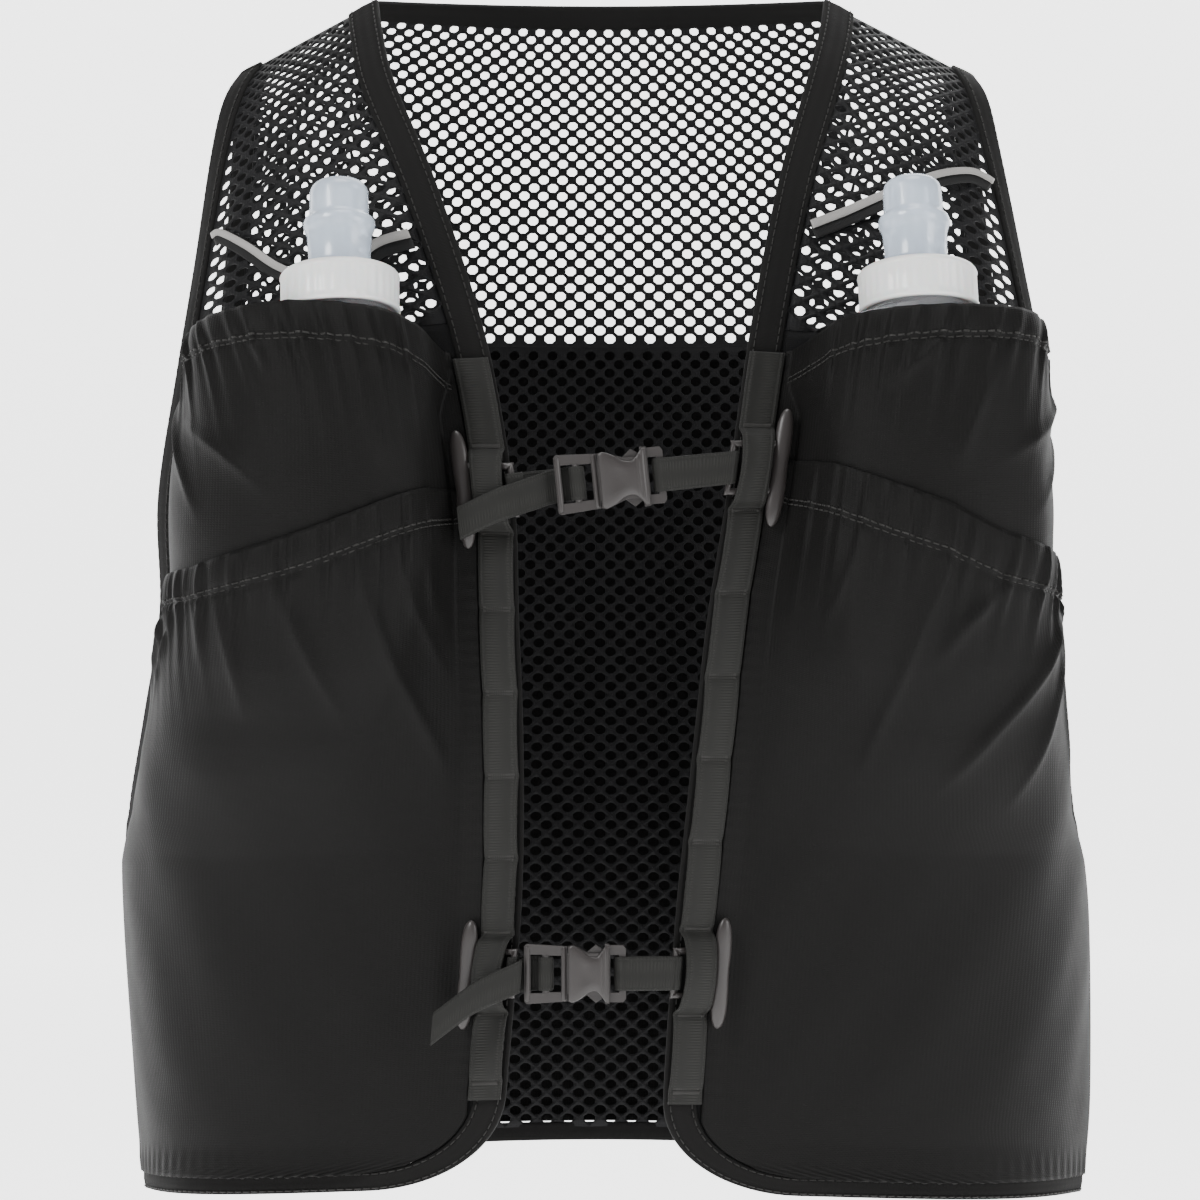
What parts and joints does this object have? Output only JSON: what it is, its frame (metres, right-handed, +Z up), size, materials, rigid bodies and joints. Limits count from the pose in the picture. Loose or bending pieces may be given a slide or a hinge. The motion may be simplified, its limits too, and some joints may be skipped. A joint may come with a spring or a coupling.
{
  "type": "running hydration vest",
  "caption": "Close-fitting mesh running vest with two soft flasks in stretch front pockets, daisy-chain webbing and buckled chest straps.",
  "frame": {"origin": "midway between the crests of the two shoulders, where the vest sits on its wearer", "axes": "+X to the right as seen from the front, +Y to the back, +Z up"},
  "size_m": [0.39, 0.2658, 0.485],
  "materials": {
    "net": "open warp-knit net, matte",
    "binding": "smooth stretch binding, matte with a soft sheen",
    "pocket_cloth": "fine woven four-way stretch, matte",
    "webbing": "flat woven webbing with bar tacks",
    "elastic": "ribbed elastic",
    "reflective": "grey glass-bead reflective tape",
    "buckle_plastic": "moulded, satin",
    "flask_cap": "frosted, slightly translucent",
    "bite_valve": "clear silicone, bluish",
    "flask_film": "clear soft film"
  },
  "bodies": {
    "vest": {"back_mesh_panel": "net", "neck_binding": "binding", "back_pocket_panel": "pocket_cloth", "back_hem_binding": "binding", "left_front_mesh_panel": "net", "left_front_binding": "binding", "left_armhole_binding": "binding", "left_bottle_pocket": "pocket_cloth", "left_lower_pocket": "pocket_cloth", "left_hip_pocket": "pocket_cloth", "left_daisy_chain": "webbing", "left_elastic_band": "elastic", "left_reflective_stripe": "reflective", "left_flask_body": "flask_film", "right_front_mesh_panel": "net", "right_front_binding": "binding", "right_armhole_binding": "binding", "right_bottle_pocket": "pocket_cloth", "right_lower_pocket": "pocket_cloth", "right_hip_pocket": "pocket_cloth", "right_daisy_chain": "webbing", "right_elastic_band": "elastic", "right_reflective_stripe": "reflective", "right_flask_body": "flask_film", "upper_left_toggle": "buckle_plastic", "upper_right_toggle": "buckle_plastic", "upper_adjuster_strap": "webbing", "upper_loop_strap": "webbing", "upper_buckle_latch": "buckle_plastic", "upper_buckle_socket": "buckle_plastic", "lower_left_toggle": "buckle_plastic", "lower_right_toggle": "buckle_plastic", "lower_adjuster_strap": "webbing", "lower_loop_strap": "webbing", "lower_buckle_latch": "buckle_plastic", "lower_buckle_socket": "buckle_plastic"},
    "left_cap": {"left_flask_cap": "flask_cap", "left_bite_valve": "bite_valve"},
    "right_cap": {"right_flask_cap": "flask_cap", "right_bite_valve": "bite_valve"}
  },
  "joints": [
    {"name": "left_cap_turn", "type": "hinge", "parent": "vest", "child": "left_cap", "pos_m": [-0.09973, -0.11502, -0.13133], "axis": [-0.0204, 0.2447, 0.9694], "range_deg": [0, 360]},
    {"name": "right_cap_turn", "type": "hinge", "parent": "vest", "child": "right_cap", "pos_m": [0.12263, -0.11373, -0.13022], "axis": [-0.0429, 0.2449, 0.9686], "range_deg": [0, 360]}
  ]
}
